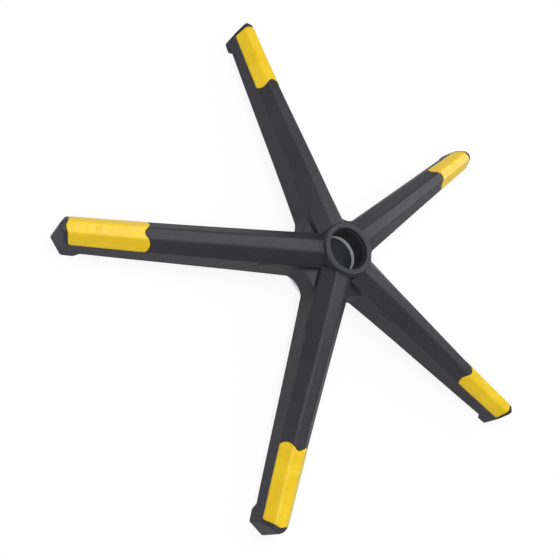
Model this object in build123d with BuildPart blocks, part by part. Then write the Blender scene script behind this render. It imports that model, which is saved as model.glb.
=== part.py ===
"""Five-arm moulded chair base with inset foot pads and a steel bush for the gas lift.

The base is one nylon moulding: five tapering arms with a hollow, ribbed underside meet in
a web round the hub tube. A steel bush is moulded into the tube, and each arm carries a pad let
into its outer end. Millimetres, +Z up. The origin is on the hub axis, at the gauge plane where
the lift's taper seats. Arm 1 lies along +X.
"""

import os
from math import hypot

from build123d import *

# Hub: a collar with a mouth, over a steel bush that has a lead-in, a short land and a 1:20 taper
gauge_radius = 25.0
gauge_height = 42.1
land_length = 5.0
taper_ratio = 1 / 20
lead_in = 1.3
lead_in_height = 4.4
bush_wall = 4.5
tube_foot = 6.0
mouth_step = 1.0
mouth_depth = 5.0
mouth_bevel = 1.2
collar_wall = 6.0
collar_height = 73.7
collar_bevel = 1.6

# Arms: radii of four stations, heights above the ground and half-widths there
arm_count = 5
arm_sections = 5
hollow_sections = 4
tip_radius = 350.0
tip_overrun = 6.0
station_radii = (30.0, 140.0, 256.0, tip_radius + tip_overrun)
ridge_drop = 4.1
ridge_heights = (collar_height - ridge_drop, 59.6, 45.4, 38.1)
shoulder_heights = (55.3, 42.9, 31.8, 23.9)
ridge_half_root, ridge_half_tip = 8.3, 6.5
shoulder_half_root, shoulder_half_tip = 24.2, 15.7
foot_half_root, foot_half_tip = 25.0, 19.6
ridge_round = 4.0
skirt_hub, skirt_middle, skirt_pad, skirt_boss = 12.9, 12.8, 8.7, 7.1

# Pointed end of an arm
tip_setback = 11.0
tip_draft = 3.4
tip_bevel = 1.2

# Caster boss under the end of an arm
caster_setback = 14.0
caster_bore = 11.0
caster_depth = 24.0
caster_tube = 19.0
boss_half = 10.6
boss_slope = 6.5

# Web that joins the arms at the hub
web_radius = 56.0
web_height = 43.5
web_rise = 7.0
web_roof = 4.0
web_foot = 13.4
web_round = 20.0
web_bite = 0.5

# Walls and ribs of the hollow underside
wall = 3.4
rib = 2.8
rib_foot = 17.0
rib_count = 3

# Foot pads
pad_proud = 0.8
pad_depth = 2.4
pad_seam = 0.5
pad_nose = 257.5
pad_nose_round = 6.0
pad_tail_length = 14.1
pad_tail_round = 5.0
pad_end_setback = 9.1
pad_end_round = 8.0
pad_point = 5.7
pad_corner_round = 3.0
pad_wrap = 0.15
pad_drop = 1.0
pad_strips = 2
pad_bevel = 0.8
tab_length = 8.0
tab_width = 4.0
tab_setback = 11.5
tab_reach = 2.0
tab_gap = 0.1

recess_radius = gauge_radius + lead_in
mouth_radius = recess_radius + mouth_step
bush_radius = gauge_radius + bush_wall
bush_height = gauge_height + lead_in_height
tube_outer = bush_radius + wall
collar_radius = bush_radius + collar_wall
caster_radius = tip_radius - caster_setback
boss_start = caster_radius - boss_half
pad_tail = pad_nose - pad_tail_length
pad_end = tip_radius - pad_end_setback
pad_corner = pad_end - pad_point
tab_radii = (pad_nose + tab_setback, caster_radius - caster_tube / 2 - tab_setback)
tab_foot = ridge_heights[-1] - pad_depth - wall - tab_reach
bulkhead_radius = pad_tail - pad_seam + rib / 2
across = 2 * foot_half_root
margin = 10.0

ground_z = -gauge_height
ground = Plane.XY.offset(ground_z)
side_view = Plane(origin=(0, 0, ground_z), x_dir=(1, 0, 0), z_dir=(0, -1, 0))


def between(root, tip, radius):
    """A width that changes evenly from the hub axis to the last station."""
    return root + (tip - root) * radius / station_radii[-1]


def rise(heights, radius):
    """A height on the cubic curve through the heights at the four stations."""
    total = 0.0
    for here, height in zip(station_radii, heights):
        for other in station_radii:
            if other != here:
                height *= (radius - other) / (here - other)
        total += height
    return total


def evenly(start, end, count):
    """Radii spaced evenly from start to end, both among them."""
    return [start + (end - start) * number / (count - 1) for number in range(count)]


def grown_corner(before, at, after, grow):
    """Where the two sides that meet at a corner cross once each has moved out by grow."""
    ux, uy = at[0] - before[0], at[1] - before[1]
    vx, vy = after[0] - at[0], after[1] - at[1]
    ul, vl = hypot(ux, uy), hypot(vx, vy)
    nu, nv = (-uy / ul, ux / ul), (-vy / vl, vx / vl)
    share = grow / (1 + nu[0] * nv[0] + nu[1] * nv[1])
    return at[0] + share * (nu[0] + nv[0]), at[1] + share * (nu[1] + nv[1])


def arm_section(radius, grow=0.0, ridge_radius=0.0):
    """A cross-section of the arm moved out by grow, with its skirts run down past the ground."""
    ridge = between(ridge_half_root, ridge_half_tip, radius), rise(ridge_heights, radius)
    shoulder = between(shoulder_half_root, shoulder_half_tip, radius), rise(shoulder_heights, radius)
    skirt = between(foot_half_root, foot_half_tip, radius), 0.0
    lean = (skirt[0] - shoulder[0]) / shoulder[1]
    top = grown_corner((-ridge[0], ridge[1]), ridge, shoulder, grow)
    side = grown_corner(ridge, shoulder, skirt, grow)
    bottom = side[0] + lean * (side[1] + margin), -margin
    half = [bottom, side, top]
    face = Plane(origin=(radius, 0, ground_z), x_dir=(0, 1, 0), z_dir=(1, 0, 0))
    with BuildSketch(face) as section:
        with BuildLine():
            Polyline(half + [(-across, up) for across, up in reversed(half)], close=True)
        make_face()
        if ridge_radius:
            fillet(section.vertices().group_by(Axis.Y)[-1], ridge_radius)
    return section.sketch


def end_outline(inset=0.0):
    """The arm seen from above, pointed at its outer end and pulled in by inset."""
    slope = tip_setback / between(foot_half_root, foot_half_tip, tip_radius)
    point = tip_radius - inset * hypot(1, slope)
    side = 2 * foot_half_root
    with BuildSketch(ground) as outline:
        with BuildLine():
            Polyline(
                (0, -side), (point - slope * side, -side), (point, 0),
                (point - slope * side, side), (0, side), close=True,
            )
        make_face()
    return outline.sketch


def pad_outline(gap=0.0):
    """The pad seen from above: a fishtail towards the hub and a blunt point outwards."""
    tail_half = between(shoulder_half_root, shoulder_half_tip, pad_tail) + pad_wrap
    corner_half = between(shoulder_half_root, shoulder_half_tip, pad_corner) + pad_wrap
    with BuildSketch(ground) as outline:
        with BuildLine():
            Polyline(
                (pad_nose, 0), (pad_tail, -tail_half), (pad_corner, -corner_half),
                (pad_end, 0), (pad_corner, corner_half), (pad_tail, tail_half), close=True,
            )
        make_face()
        by_radius = outline.vertices().group_by(Axis.X)
        fillet(by_radius[0], pad_tail_round)
        fillet(outline.vertices().sort_by_distance((pad_nose, 0))[0], pad_nose_round)
        fillet(outline.vertices().sort_by_distance((pad_end, 0))[0], pad_end_round)
        for side in (-corner_half, corner_half):
            fillet(outline.vertices().sort_by_distance((pad_corner, side))[0], pad_corner_round)
        if gap:
            offset(amount=gap)
    return outline.sketch


def above_shoulder(drop):
    """A side view of everything higher than drop below the arm's shoulders, at the pad."""
    low = [(radius, rise(shoulder_heights, radius) - drop) for radius in pad_radii]
    with BuildSketch(side_view) as outline:
        with BuildLine():
            Polyline(low + [(pad_radii[-1], collar_height), (pad_radii[0], collar_height)], close=True)
        make_face()
    return outline.sketch


arm_radii = evenly(station_radii[0], station_radii[-1], arm_sections)
hollow_radii = evenly(station_radii[0], station_radii[-1], hollow_sections)
pad_radii = [pad_tail - margin, *evenly(pad_nose, pad_corner, pad_strips + 1), station_radii[-1]]
rib_radii = evenly(tube_outer, bulkhead_radius, rib_count + 2)[1:]

# The surface that a pad lies on, run down past the skirts
with BuildPart() as pad_bed:
    loft([arm_section(radius, -pad_depth) for radius in pad_radii], ruled=True)

# Foot pad, with a bevel round its top and two tabs under it
with BuildPart() as foot_pad:
    pad_ridge = ridge_round + pad_proud
    loft([arm_section(radius, pad_proud, pad_ridge) for radius in pad_radii], ruled=True)
    extrude(pad_outline(), amount=collar_height, mode=Mode.INTERSECT)
    walls = foot_pad.faces().filter_by(lambda face: abs(face.normal_at().Z) < 0.001)
    tops = foot_pad.faces().filter_by(lambda face: face.normal_at().Z > 0.1)
    chamfer([edge for edge in tops.edges() if edge in walls.edges()], pad_bevel)
    extrude(above_shoulder(pad_drop), amount=across, both=True, mode=Mode.INTERSECT)
    add(pad_bed.part, mode=Mode.SUBTRACT)
    with BuildSketch(ground.offset(tab_foot)):
        with Locations([(radius, 0) for radius in tab_radii]):
            Rectangle(tab_length, tab_width)
    extrude(until=Until.NEXT)

# Room for the pad in the arm, with an open seam round it
with BuildPart() as pad_room:
    extrude(pad_outline(pad_seam), amount=collar_height)
    extrude(above_shoulder(pad_drop + pad_seam), amount=across, both=True, mode=Mode.INTERSECT)
    add(pad_bed.part, mode=Mode.SUBTRACT)

# One arm before it is hollowed
with BuildPart() as arm:
    loft([arm_section(radius, 0, ridge_round) for radius in arm_radii])
    with BuildSketch(side_view):
        with BuildLine():
            Spline(
                (0, skirt_hub), (station_radii[1], skirt_middle), (station_radii[2], skirt_pad),
                (boss_start - boss_slope, skirt_boss),
            )
            Polyline(
                (boss_start - boss_slope, skirt_boss), (boss_start, 0), (arm_radii[-1], 0),
                (arm_radii[-1], -2 * margin), (0, -2 * margin), (0, skirt_hub),
            )
        make_face()
    extrude(amount=across, both=True, mode=Mode.SUBTRACT)
    extrude(end_outline(), amount=collar_height, taper=tip_draft, mode=Mode.INTERSECT)
    ends = arm.faces().filter_by(
        lambda face: face.normal_at().X > 0.3 and abs(face.normal_at().Y) > 0.2)
    chamfer([edge for edge in ends.edges() if edge.center().Z > ground_z + margin], tip_bevel)
    add(pad_room.part, mode=Mode.SUBTRACT)

# What stands inside the hollow of an arm: ribs, a bulkhead, the hub tube and the caster tube
with BuildPart() as arm_ribs:
    with BuildSketch(ground.offset(rib_foot)):
        with Locations((bulkhead_radius / 2, 0)):
            Rectangle(bulkhead_radius, rib)
        with Locations([(radius, 0) for radius in (*rib_radii, sum(tab_radii) / 2)]):
            Rectangle(rib, across)
        with PolarLocations(web_radius / 2, 2, start_angle=-180 / arm_count,
                            angular_range=720 / arm_count):
            Rectangle(web_radius, rib)
    extrude(amount=collar_height - rib_foot)
    with BuildSketch(ground):
        with Locations((caster_radius, 0)):
            Circle(caster_tube / 2)
    extrude(amount=collar_height)
    with BuildSketch(ground.offset(-margin)):
        Circle(tube_outer)
    extrude(amount=collar_height + margin)

# The hollow of an arm, with a lower roof past the bulkhead to leave room for the pad
with BuildPart() as arm_hollow:
    loft([arm_section(radius, -wall) for radius in hollow_radii], ruled=True)
    with Locations((bulkhead_radius, 0, ground_z)):
        Box(
            tip_radius, across, 3 * collar_height,
            align=(Align.MAX, Align.CENTER, Align.CENTER), mode=Mode.INTERSECT,
        )
    add(arm_ribs.part, mode=Mode.SUBTRACT)

with BuildPart() as end_hollow:
    roof = -pad_depth - wall
    loft([arm_section(radius, roof) for radius in pad_radii[::2]], ruled=True)
    extrude(end_outline(wall), amount=collar_height, taper=tip_draft, mode=Mode.INTERSECT)
    with Locations((bulkhead_radius, 0, ground_z)):
        Box(
            tip_radius, across, 3 * collar_height,
            align=(Align.MIN, Align.CENTER, Align.CENTER), mode=Mode.INTERSECT,
        )
    add(arm_ribs.part, mode=Mode.SUBTRACT)

# Pockets in the web, one between each two arms
with BuildPart() as web_pockets:
    with BuildSketch(ground):
        Circle(web_radius - wall)
        with PolarLocations(tip_radius / 2, arm_count):
            Rectangle(tip_radius, across, mode=Mode.SUBTRACT)
    extrude(amount=web_height - web_roof)

# Steel bush: lead-in cone, short straight land and taper
with BuildPart() as hub_bush:
    with BuildSketch(Plane.XZ):
        with BuildLine():
            foot = tube_foot - gauge_height
            top = bush_height - gauge_height
            narrow = gauge_radius + (foot + land_length) * taper_ratio / 2
            Polyline(
                (gauge_radius, 0), (recess_radius, top), (bush_radius, top),
                (bush_radius, foot), (narrow, foot), (gauge_radius, -land_length), close=True,
            )
        make_face()
    revolve(axis=Axis.Z)

# The moulding
with BuildPart() as star_base:
    strip_half = between(shoulder_half_root, shoulder_half_tip, web_radius) - web_bite
    with BuildSketch(ground.offset(web_foot)) as web:
        with PolarLocations(web_radius, arm_count):
            Rectangle(2 * web_radius, 2 * strip_half)
        fillet([corner for corner in web.vertices() if hypot(corner.X, corner.Y) < web_radius], web_round)
    extrude(amount=web_height - web_foot)
    with Locations((0, 0, ground_z + web_height)):
        Cone(web_radius, collar_radius, web_rise, align=(Align.CENTER, Align.CENTER, Align.MIN))
    with PolarLocations(0, arm_count):
        add(arm.part)
    with BuildSketch(ground.offset(tube_foot)):
        Circle(tube_outer)
    extrude(amount=collar_height - tube_foot)
    with BuildSketch(ground.offset(web_height)):
        Circle(collar_radius)
    extrude(amount=collar_height - web_height)
    chamfer(star_base.faces().sort_by(Axis.Z)[-1].edges(), collar_bevel)
    with PolarLocations(0, arm_count):
        add([arm_hollow.part, end_hollow.part], mode=Mode.SUBTRACT)
    add(web_pockets.part, mode=Mode.SUBTRACT)
    with BuildSketch(ground.offset(collar_height)):
        Circle(mouth_radius)
    extrude(amount=-mouth_depth, mode=Mode.SUBTRACT)
    chamfer(star_base.faces().sort_by(Axis.Z)[-1].inner_wires()[0].edges(), mouth_bevel)
    with BuildSketch(ground.offset(tube_foot)):
        Circle(recess_radius)
    extrude(amount=collar_height, mode=Mode.SUBTRACT)
    add(hub_bush.part, mode=Mode.SUBTRACT)
    with BuildSketch(ground):
        with PolarLocations(caster_radius, arm_count):
            Circle(caster_bore / 2)
    extrude(amount=caster_depth, mode=Mode.SUBTRACT)
    with BuildSketch(ground):
        for radius in tab_radii:
            with PolarLocations(radius, arm_count):
                Rectangle(tab_length + 2 * tab_gap, tab_width + 2 * tab_gap)
    extrude(amount=collar_height, mode=Mode.SUBTRACT)

star_base.part.label = "star_base"
hub_bush.part.label = "hub_bush"

os.makedirs("parts", exist_ok=True)
export_step(star_base.part, "parts/star_base.step")
export_step(hub_bush.part, "parts/hub_bush.step")

for number, place in enumerate(PolarLocations(0, arm_count), start=1):
    with BuildPart() as placed_pad:
        with Locations(place):
            add(foot_pad.part)
    placed_pad.part.label = f"foot_pad_{number}"
    export_step(placed_pad.part, f"parts/foot_pad_{number}.step")
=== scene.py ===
# %% [markdown]
# # A five-arm chair base in black nylon
# The base of an office chair is one moulding of glass-filled nylon. A steel bush in its hub takes
# the gas lift, and a yellow pad is let into the end of each arm. The shapes come from a packed
# model, so this lesson is about light, camera and finish: how moulded plastic gets its look.

# %% Load the packed model
from math import cos, pi, radians, sin, sqrt

import bmesh
import bpy
from mathutils import Matrix, Vector


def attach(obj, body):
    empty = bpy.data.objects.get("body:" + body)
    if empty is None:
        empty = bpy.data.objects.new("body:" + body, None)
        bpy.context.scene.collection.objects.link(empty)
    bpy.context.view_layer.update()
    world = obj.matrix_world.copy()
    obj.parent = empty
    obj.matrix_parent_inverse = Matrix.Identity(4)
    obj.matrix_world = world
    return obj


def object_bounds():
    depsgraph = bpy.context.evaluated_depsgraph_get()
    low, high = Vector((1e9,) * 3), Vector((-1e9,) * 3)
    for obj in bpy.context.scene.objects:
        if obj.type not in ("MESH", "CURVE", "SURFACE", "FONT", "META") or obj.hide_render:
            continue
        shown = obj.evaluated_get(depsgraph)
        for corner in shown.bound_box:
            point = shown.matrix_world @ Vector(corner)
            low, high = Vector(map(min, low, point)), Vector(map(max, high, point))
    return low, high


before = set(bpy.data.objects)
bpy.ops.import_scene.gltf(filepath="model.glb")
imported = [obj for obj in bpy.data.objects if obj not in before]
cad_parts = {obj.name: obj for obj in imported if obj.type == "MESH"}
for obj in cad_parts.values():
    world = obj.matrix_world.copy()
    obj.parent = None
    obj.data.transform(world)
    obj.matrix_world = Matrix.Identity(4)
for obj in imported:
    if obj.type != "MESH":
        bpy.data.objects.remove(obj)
cad_box = [list(corner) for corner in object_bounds()]
base_low, base_high = (Vector(corner) for corner in cad_box)
print("nodes:", sorted(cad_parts))
print("box in metres:", cad_box)

# %% [markdown]
# ## The camera
# The photograph looks down on the base from about 56 degrees, with the camera turned on its side, so
# that one arm points left. A camera is easiest to read as three facts: where it stands, the point
# it looks at, and how far it is rolled about its own line of sight.

# %% Place the camera
eye = Vector((0.46986, 0.27217, 0.67249))
looked_at = Vector((0.08577, 0.03990, 0.0))
roll = radians(59.298)
photo_pixels = 560
focal_pixels = 660.07

camera_data = bpy.data.cameras.new("photo_camera")
camera_data.sensor_width = 36.0
camera_data.lens = focal_pixels / photo_pixels * camera_data.sensor_width
camera = bpy.data.objects.new("photo_camera", camera_data)
bpy.context.scene.collection.objects.link(camera)
level = (looked_at - eye).to_track_quat("-Z", "Y").to_matrix().to_4x4()
camera.matrix_world = Matrix.Translation(eye) @ level @ Matrix.Rotation(roll, 4, "Z")
camera_data.clip_start = 0.01
bpy.context.scene.camera = camera
print("lens in millimetres:", round(camera_data.lens, 2))

# %% [markdown]
# ## Sums on sockets
# A finish is arithmetic on sockets: a mask times a colour shift, plus a base. Writing that as node
# calls hides the sum, so one small class wraps a socket and lends it Python's operators. Every
# other node comes from its `node` method, which takes the type, the settings and the inputs.

# %% A socket that takes part in sums
class Wire:
    """A shader socket. Operators add Math nodes; node() adds any other."""

    def __init__(self, tree, socket=None):
        self.tree = tree
        self.socket = socket

    def node(self, kind, settings=None, inputs=None, output=0):
        """Adds a node, gives it its settings first, then its sockets' values or links."""
        made = self.tree.nodes.new(kind)
        for name, value in (settings or {}).items():
            setattr(made, name, value)
        for name, value in (inputs or {}).items():
            if isinstance(value, Wire):
                self.tree.links.new(value.socket, made.inputs[name])
            else:
                made.inputs[name].default_value = value
        return Wire(self.tree, made.outputs[output])

    def maths(self, operation, first, second=0.0, clamp=False):
        settings = {"operation": operation, "use_clamp": clamp}
        return self.node("ShaderNodeMath", settings, {0: first, 1: second})

    def __add__(self, other):
        return self.maths("ADD", self, other)

    def __sub__(self, other):
        return self.maths("SUBTRACT", self, other)

    def __rsub__(self, other):
        return self.maths("SUBTRACT", other, self)

    def __mul__(self, other):
        return self.maths("MULTIPLY", self, other)

    def __truediv__(self, other):
        return self.maths("DIVIDE", self, other)

    def __rtruediv__(self, other):
        return self.maths("DIVIDE", other, self)

    __radd__ = __add__
    __rmul__ = __mul__

    def clipped(self):
        return self.maths("ADD", self, 0.0, clamp=True)


print("operators on a socket:", [name for name in vars(Wire) if name.startswith("__r")])

# %% [markdown]
# ## Helpers for a finish
# A moulded surface never has one colour and one gloss. Three small helpers cover what changes:
# a noise in the piece's own space, a mix of two colours by a mask, and a bump from a height. A
# fourth softens sharp edges in the shading alone, as a mould's edges are never quite sharp.

# %% Noise, colour mix, bump and soft edges
def new_finish(name):
    """An empty material, its tree as a Wire, and its shader."""
    material = bpy.data.materials.new(name)
    material.use_nodes = True
    tree = material.node_tree
    return material, Wire(tree), tree.nodes["Principled BSDF"]


def feed(start, shader, name, wire):
    """Links a wire to one of the shader's sockets."""
    start.tree.links.new(wire.socket, shader.inputs[name])


def noise(place, per_metre, detail=2.0, roughness=0.5):
    """Grey noise from 0 to 1, with about per_metre lumps along a metre."""
    inputs = {"Vector": place, "Scale": per_metre, "Detail": detail, "Roughness": roughness}
    return place.node("ShaderNodeTexNoise", {"noise_dimensions": "3D"}, inputs)


def blend_colors(mask, low, high):
    """The colour low where the mask is 0, and high where it is 1."""
    settings = {"data_type": "RGBA", "clamp_factor": True}
    return mask.node("ShaderNodeMix", settings, {0: mask, 6: low, 7: high}, output=2)


def spread(wire, low, high):
    """Stretches the stretch of a wire from low to high over 0 to 1."""
    return ((wire - low) / (high - low)).clipped()


def bump(height, depth, strength=1.0, under=None):
    """A normal from a height between 0 and 1 that is depth metres deep."""
    inputs = {"Height": height, "Distance": depth, "Strength": strength}
    if under:
        inputs["Normal"] = under
    return height.node("ShaderNodeBump", {}, inputs)


def soft_edges(place, radius):
    """The normal of a piece whose sharp edges are rounded to a radius in metres."""
    return place.node("ShaderNodeBevel", {"samples": 6}, {"Radius": radius})


print("helpers ready")

# %% [markdown]
# ## Black nylon
# The mould for a chair base is spark-eroded, which leaves a grain of pits a few tenths of a
# millimetre across. Grain alone looks like sandpaper, so the bump stays shallow and most of the
# work is done by the roughness, which drifts slowly along an arm where the melt cooled unevenly.

# %% Black nylon
nylon_dark = (0.018, 0.0175, 0.023, 1.0)
nylon_pale = (0.030, 0.029, 0.037, 1.0)


def black_nylon():
    material, start, shader = new_finish("black_nylon")
    place = start.node("ShaderNodeTexCoord", output=3)
    drift = spread(noise(place, 14.0, 3.0), 0.3, 0.7)
    grain = noise(place, 1500.0, 2.0, 0.6)
    specks = spread(noise(place, 420.0, 1.0), 0.35, 0.65)
    color = blend_colors(drift * 0.6 + specks * 0.4, nylon_dark, nylon_pale)
    feed(start, shader, "Base Color", color)
    feed(start, shader, "Roughness", 0.47 + drift * 0.07 + grain * 0.08)
    feed(start, shader, "Normal", bump(
        grain, 0.00006, under=bump(drift, 0.0004, under=soft_edges(place, 0.0016))))
    shader.inputs["IOR"].default_value = 1.53
    shader.inputs["Specular Tint"].default_value = (0.96, 0.94, 1.0, 1.0)
    return material


nylon = black_nylon()
print("nodes in the nylon:", len(nylon.node_tree.nodes))

# %% [markdown]
# ## Yellow pads
# The pads are a softer, coloured plastic with the same grain. Their faces sink a little between
# the thicker spots as they cool, which shows as pale and dull patches in the shine. A slow noise
# in the bump gives those dips without touching the outline.

# %% Yellow pad
pad_deep = (0.89, 0.58, 0.008, 1.0)
pad_bright = (0.95, 0.66, 0.014, 1.0)


def yellow_pad():
    material, start, shader = new_finish("yellow_pad")
    place = start.node("ShaderNodeTexCoord", output=3)
    sinks = noise(place, 75.0, 2.0)
    grain = noise(place, 1300.0, 2.0, 0.6)
    patches = spread(noise(place, 35.0, 3.0), 0.35, 0.65)
    feed(start, shader, "Base Color", blend_colors(patches, pad_deep, pad_bright))
    feed(start, shader, "Roughness", 0.3 + patches * 0.1 + grain * 0.08)
    feed(start, shader, "Normal", bump(
        grain, 0.00004, under=bump(sinks, 0.0018, under=soft_edges(place, 0.0025))))
    shader.inputs["IOR"].default_value = 1.5
    return material


pad_plastic = yellow_pad()
print("nodes in the pad:", len(pad_plastic.node_tree.nodes))

# %% [markdown]
# ## Turned steel
# The bush is turned on a lathe, so its marks are fine rings round the hub axis. Rings need no
# texture image: stretching a noise flat along Z, and shrinking it across, gives them. Below the
# lead-in cone at its top, the bore is a dark, fully metallic copy of the steel: painted shade.

# %% Turned steel
# lead_in_start is the height where the painted shade in the bore ends; the blur softens its edge.
lead_in_start, painted_shade_blur = 0.0, 0.0004


def turned_steel():
    material, start, shader = new_finish("turned_steel")
    place = start.node("ShaderNodeTexCoord", output=3)
    flat = start.node("ShaderNodeVectorMath", {"operation": "MULTIPLY"},
                      {0: place, 1: (4.0, 4.0, 900.0)})
    rings = flat.node("ShaderNodeTexNoise", {}, {"Vector": flat, "Scale": 3.0, "Detail": 3.0})
    stains = spread(noise(place, 90.0, 3.0), 0.4, 0.75)
    height = place.node("ShaderNodeSeparateXYZ", {}, {"Vector": place}, output=2)
    # 1 above the foot of the lead-in cone, 0 down the bore, where shade is painted.
    above_painted_shade = spread(height, lead_in_start - painted_shade_blur, lead_in_start + painted_shade_blur)
    bright = blend_colors(stains, (0.85, 0.84, 0.83, 1.0), (0.66, 0.65, 0.64, 1.0))
    # The dark colour is painted shade in the bore; the pale mix with stains is the steel's own colour.
    feed(start, shader, "Base Color", blend_colors(above_painted_shade, (0.19, 0.195, 0.215, 1.0), bright))
    feed(start, shader, "Roughness", 0.42 + rings * 0.12 + stains * 0.1)
    feed(start, shader, "Metallic", 1.0 - above_painted_shade * 0.7)
    feed(start, shader, "Normal", bump(rings, 0.00003))
    return material


steel = turned_steel()
print("nodes in the steel:", len(steel.node_tree.nodes))

# %% [markdown]
# ## The web between the arms
# On the real base a low wall runs in a hollow curve from arm to arm round the hub, and its roof
# climbs to the collar. In the packed model that wall is thin and open in places, so a closed skin
# of the same nylon is fitted over it. Its section is one closed line of points, given by how far
# they lie behind the hollow curve and how high they are, and that line is swept from arm to arm.

# %% Sizes of the web
arm_count = 5
ground = base_low.z
web_foot, web_top, web_wall = ground + 0.0134, ground + 0.0444, 0.0034
web_edge_round = 0.0015
web_hollow = 0.0264
flank_at_foot, flank_at_top = 0.0224, 0.02227
roof_inner_radius, roof_inner_height = 0.0345, ground + 0.0509
roof_underside = ground + 0.0415
sweep_half_angle = radians(17.4)
sweep_steps, edge_steps = 24, 4

# %% Points of one section of the web
def hollow_radius(turn, behind, height):
    """How far from the hub axis the hollow curve is, a distance behind its face."""
    share = (height - web_foot) / (web_top - web_foot)
    flank = flank_at_foot + (flank_at_top - flank_at_foot) * share
    centre = (flank + web_hollow) / sin(pi / arm_count)
    return centre * cos(turn) - sqrt((web_hollow + behind) ** 2 - (centre * sin(turn)) ** 2)


def web_section(turn):
    """Radius and height of each point round the section, from the outer foot over the roof."""
    line = [(0.0, web_foot), (0.0, web_foot + (web_top - web_foot) / 2)]
    for step in range(edge_steps + 1):
        angle = step / edge_steps * pi / 2
        line.append((web_edge_round * (1 - cos(angle)), web_top - web_edge_round * (1 - sin(angle))))
    outside = [(hollow_radius(turn, behind, height), height) for behind, height in line]
    roof = [(roof_inner_radius, roof_inner_height), (roof_inner_radius, roof_underside)]
    inside = [(hollow_radius(turn, web_wall, height), height) for height in (roof_underside, web_foot)]
    return outside + roof + inside


# %% Sweep the web from arm to arm
def web_skin(name, bisector):
    """One closed skin between two neighbouring arms, centred on the angle between them."""
    made = bmesh.new()
    sections = []
    for step in range(sweep_steps + 1):
        turn = sweep_half_angle * (2 * step / sweep_steps - 1)
        heading = bisector + turn
        sections.append([made.verts.new((radius * cos(heading), radius * sin(heading), height))
                         for radius, height in web_section(turn)])
    for one, next_one in zip(sections, sections[1:]):
        for corner in range(len(one)):
            after = (corner + 1) % len(one)
            made.faces.new((one[corner], next_one[corner], next_one[after], one[after]))
    made.faces.new(sections[0])
    made.faces.new(list(reversed(sections[-1])))
    bmesh.ops.recalc_face_normals(made, faces=made.faces)
    mesh = bpy.data.meshes.new(name)
    made.to_mesh(mesh)
    made.free()
    mesh.shade_smooth()
    mesh.set_sharp_from_angle(angle=radians(35))
    mesh.materials.append(nylon)
    skin = bpy.data.objects.new(name, mesh)
    bpy.context.scene.collection.objects.link(skin)
    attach(skin, "root")
    return skin


webs = [web_skin(f"web_{index + 1}", (2 * index + 1) * pi / arm_count) for index in range(arm_count)]
print("faces in one web:", len(webs[0].data.polygons))

# %% [markdown]
# ## Dressing the pieces
# The packed pieces keep their meshes and only change material.

# %% Give each piece its finish
def dress(name, material):
    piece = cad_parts[name]
    piece.data.materials.clear()
    piece.data.materials.append(material)


dress("star_base", nylon)
dress("hub_bush", steel)
pads = sorted(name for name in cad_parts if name.startswith("foot_pad"))
for pad in pads:
    dress(pad, pad_plastic)
print("dressed:", 2 + len(pads), "pieces")

# %% [markdown]
# ## Floor and light
# The photograph is cut out on white. The floor stays a real surface, so it bounces light up under
# the arms and takes their shadow, but the camera sees it nearly white. Reflections see it partly
# white, and below the hub nobody does, so that the bore looks down into shade.

# %% Floor
shade_radius, open_radius = 0.045, 0.054
glossy_share, white_share, white_strength = 0.4, 0.8, 1.1


def pale_floor():
    material, start, shader = new_finish("pale_floor")
    shader.inputs["Base Color"].default_value = (0.62, 0.62, 0.62, 1.0)
    shader.inputs["Roughness"].default_value = 0.9
    camera_ray, glossy_ray, through_ray = (
        start.node("ShaderNodeLightPath", output=kind)
        for kind in ("Is Camera Ray", "Is Glossy Ray", "Is Transmission Ray"))
    seen = (camera_ray + glossy_ray * glossy_share + through_ray).clipped()
    place = start.node("ShaderNodeNewGeometry")
    from_axis = place.node("ShaderNodeVectorMath", {"operation": "LENGTH"},
                           {0: place.node("ShaderNodeVectorMath", {"operation": "MULTIPLY"},
                                          {0: place, 1: (1.0, 1.0, 0.0)})}, output=1)
    open_floor = spread(from_axis, shade_radius, open_radius)
    white = start.node("ShaderNodeEmission", {}, {"Color": (1.0, 1.0, 1.0, 1.0),
                                                  "Strength": white_strength})
    lit = Wire(start.tree, shader.outputs[0])
    mask = seen * open_floor * white_share
    mixed = start.node("ShaderNodeMixShader", {}, {0: mask, 1: lit, 2: white})
    start.tree.links.new(mixed.socket, start.tree.nodes["Material Output"].inputs["Surface"])
    return material


bpy.ops.mesh.primitive_plane_add(size=14.0, location=(0.0, 0.0, base_low.z))
floor = bpy.context.object
floor.name = "floor"
floor.data.materials.append(pale_floor())
print("floor height in metres:", round(base_low.z, 4))

# %% [markdown]
# Black plastic shows almost nothing but reflections, so two soft lamps, one high and one low, stand
# across the base from the camera and draw the tops of the arms. A third, broader lamp behind the
# camera lights the yellow, which shows its own colour and needs no reflection.

# %% Lamps and world
def soft_lamp(name, place, width, height, watts):
    """A rectangular lamp that faces the hub."""
    lamp = bpy.data.lights.new(name, "AREA")
    lamp.shape = "RECTANGLE"
    lamp.size, lamp.size_y = width, height
    lamp.energy = watts
    holder = bpy.data.objects.new(name, lamp)
    bpy.context.scene.collection.objects.link(holder)
    holder.location = place
    holder.rotation_euler = (-Vector(place)).to_track_quat("-Z", "Y").to_euler()


soft_lamp("high_window", (-0.19, -0.59, 1.90), 0.7, 0.7, 12.5)
soft_lamp("low_window", (-1.84, -0.82, 0.90), 0.8, 0.8, 12.0)
soft_lamp("room", (0.82, 0.475, 1.65), 1.6, 1.6, 18.0)

world_level = 0.3
world = bpy.data.worlds.new("studio")
world.use_nodes = True
bpy.context.scene.world = world
sky = Wire(world.node_tree)
from_camera = sky.node("ShaderNodeLightPath", output="Is Camera Ray")
background = world.node_tree.nodes["Background"]
background.inputs["Color"].default_value = (1.0, 1.0, 1.0, 1.0)
feed(sky, background, "Strength", world_level + from_camera * (1.0 - world_level))
bpy.context.scene.view_settings.view_transform = "Standard"
print("lamps:", [light.name for light in bpy.data.lights])

# %% [markdown]
# ## Last update
# The view layer is brought up to date once more.

# %% Update the view layer
bpy.context.view_layer.update()
